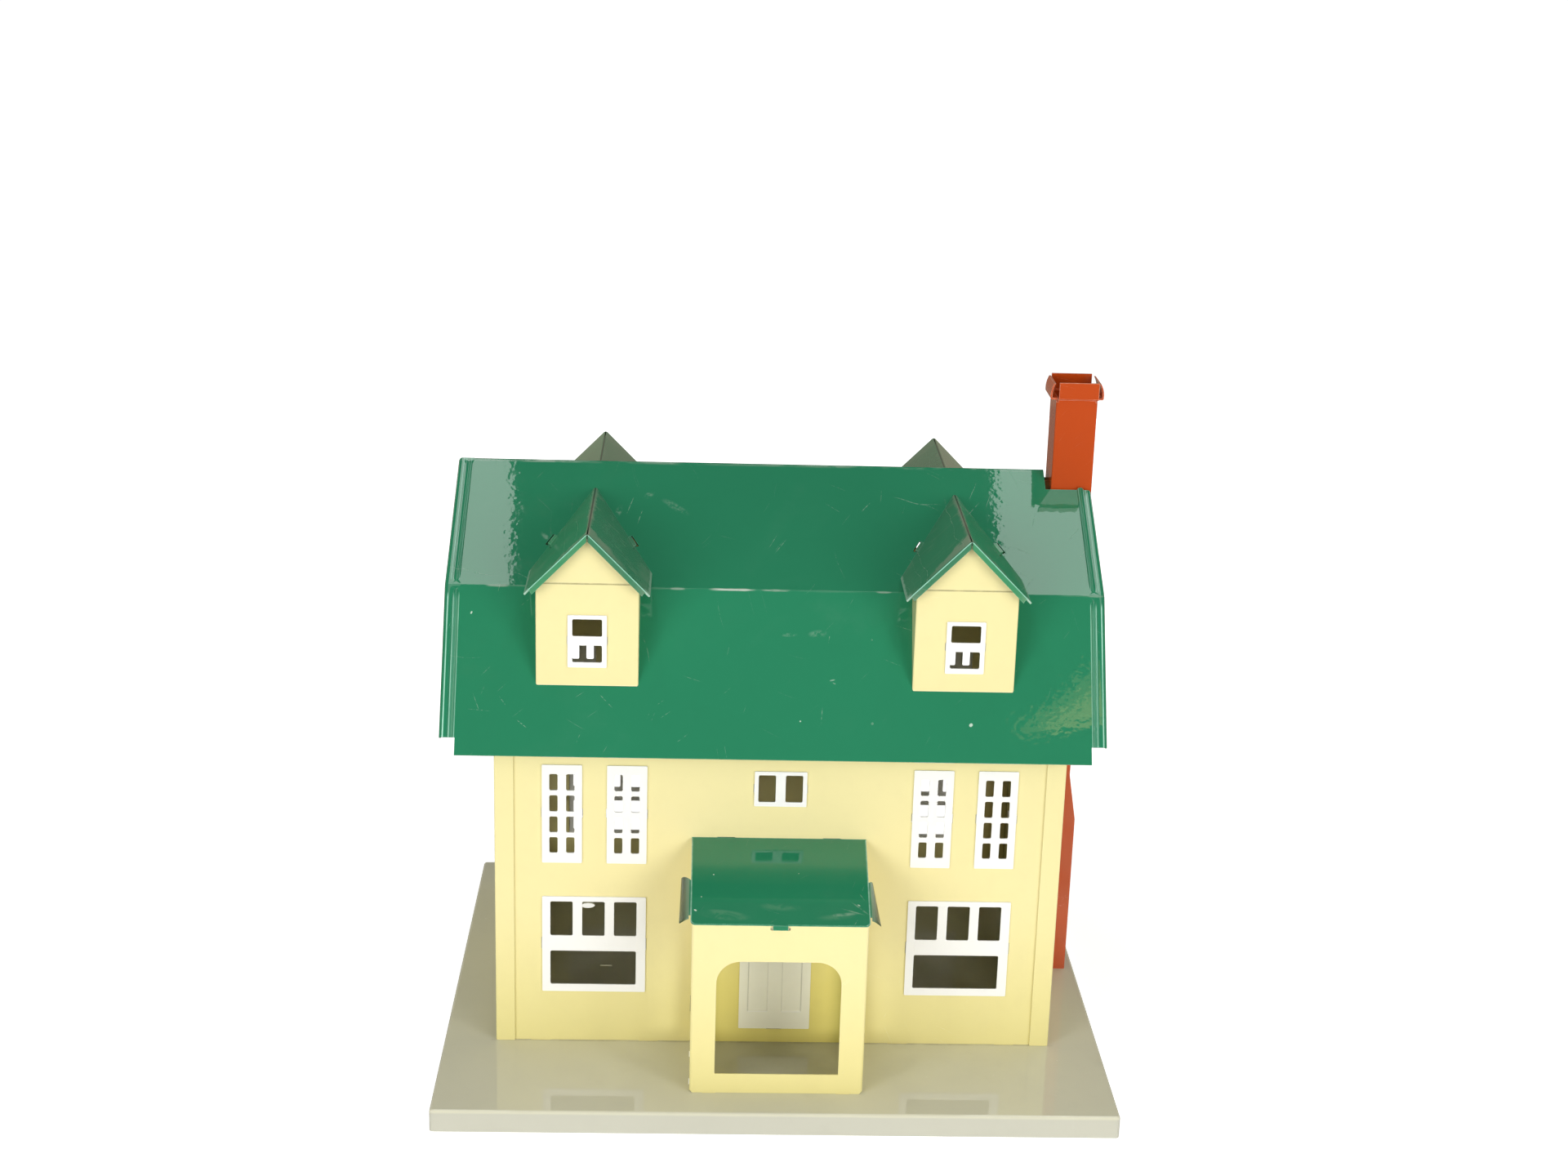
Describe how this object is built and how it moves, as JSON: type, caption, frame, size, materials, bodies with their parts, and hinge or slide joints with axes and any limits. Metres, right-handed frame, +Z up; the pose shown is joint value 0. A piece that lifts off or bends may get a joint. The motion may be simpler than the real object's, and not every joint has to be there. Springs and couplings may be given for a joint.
{
  "type": "toy house",
  "caption": "Painted sheet-steel toy house with a lift-off gambrel roof, dormers, front porch, side chimney, punched window inserts and an interior lamp, on a raised tray base.",
  "frame": {"origin": "centre of the base tray's footprint, on the surface it stands on", "axes": "+X to the right when facing the front door, +Y from the front to the back, +Z up"},
  "size_m": [0.305, 0.263, 0.3099],
  "materials": {
    "base_enamel": "gloss",
    "wall_enamel": "semi-gloss",
    "insert_enamel": "semi-gloss",
    "roof_enamel": "high gloss",
    "chimney_enamel": "semi-gloss",
    "bracket_steel": "plated",
    "rivet_steel": "plated",
    "socket_brass": "satin",
    "contact_brass": "satin",
    "insulator_fibre": "matte",
    "bulb_cap_brass": "satin",
    "bulb_glass": "clear"
  },
  "bodies": {
    "house": {"base_tray": "base_enamel", "bracket_rivets": "rivet_steel", "centre_contact": "contact_brass", "chimney_lower": "chimney_enamel", "chimney_stack": "chimney_enamel", "front_centre_window": "insert_enamel", "front_door": "insert_enamel", "front_lower_window_left": "insert_enamel", "front_lower_window_right": "insert_enamel", "front_upper_window_left_inner": "insert_enamel", "front_upper_window_left_outer": "insert_enamel", "front_upper_window_right_inner": "insert_enamel", "front_upper_window_right_outer": "insert_enamel", "front_wall": "wall_enamel", "lamp_bracket": "bracket_steel", "lamp_socket": "socket_brass", "left_lower_window_front": "insert_enamel", "left_lower_window_rear": "insert_enamel", "left_upper_window_front": "insert_enamel", "left_upper_window_rear": "insert_enamel", "left_wall": "wall_enamel", "porch_roof": "roof_enamel", "porch_walls": "wall_enamel", "rear_centre_window": "insert_enamel", "rear_door": "insert_enamel", "rear_lower_window_left": "insert_enamel", "rear_lower_window_right": "insert_enamel", "rear_upper_window_left_inner": "insert_enamel", "rear_upper_window_left_outer": "insert_enamel", "rear_upper_window_right_inner": "insert_enamel", "rear_upper_window_right_outer": "insert_enamel", "rear_wall": "wall_enamel", "right_lower_window_front": "insert_enamel", "right_lower_window_rear": "insert_enamel", "right_upper_window_front": "insert_enamel", "right_upper_window_rear": "insert_enamel", "right_wall": "wall_enamel", "socket_insulator": "insulator_fibre"},
    "roof": {"dormer_roof_front_left": "roof_enamel", "dormer_roof_front_right": "roof_enamel", "dormer_roof_rear_left": "roof_enamel", "dormer_roof_rear_right": "roof_enamel", "dormer_walls_front_left": "wall_enamel", "dormer_walls_front_right": "wall_enamel", "dormer_walls_rear_left": "wall_enamel", "dormer_walls_rear_right": "wall_enamel", "dormer_window_front_left": "insert_enamel", "dormer_window_front_right": "insert_enamel", "dormer_window_rear_left": "insert_enamel", "dormer_window_rear_right": "insert_enamel", "main_roof": "roof_enamel"},
    "bulb": {"bulb_base": "bulb_cap_brass", "bulb_glass": "bulb_glass"}
  },
  "joints": [
    {"name": "roof_lift", "type": "slide", "parent": "house", "child": "roof", "axis": [0, 0, 1], "range_m": [0, 0.16]},
    {"name": "bulb_pull", "type": "slide", "parent": "house", "child": "bulb", "axis": [0, 0, 1], "range_m": [0, 0.025]}
  ]
}
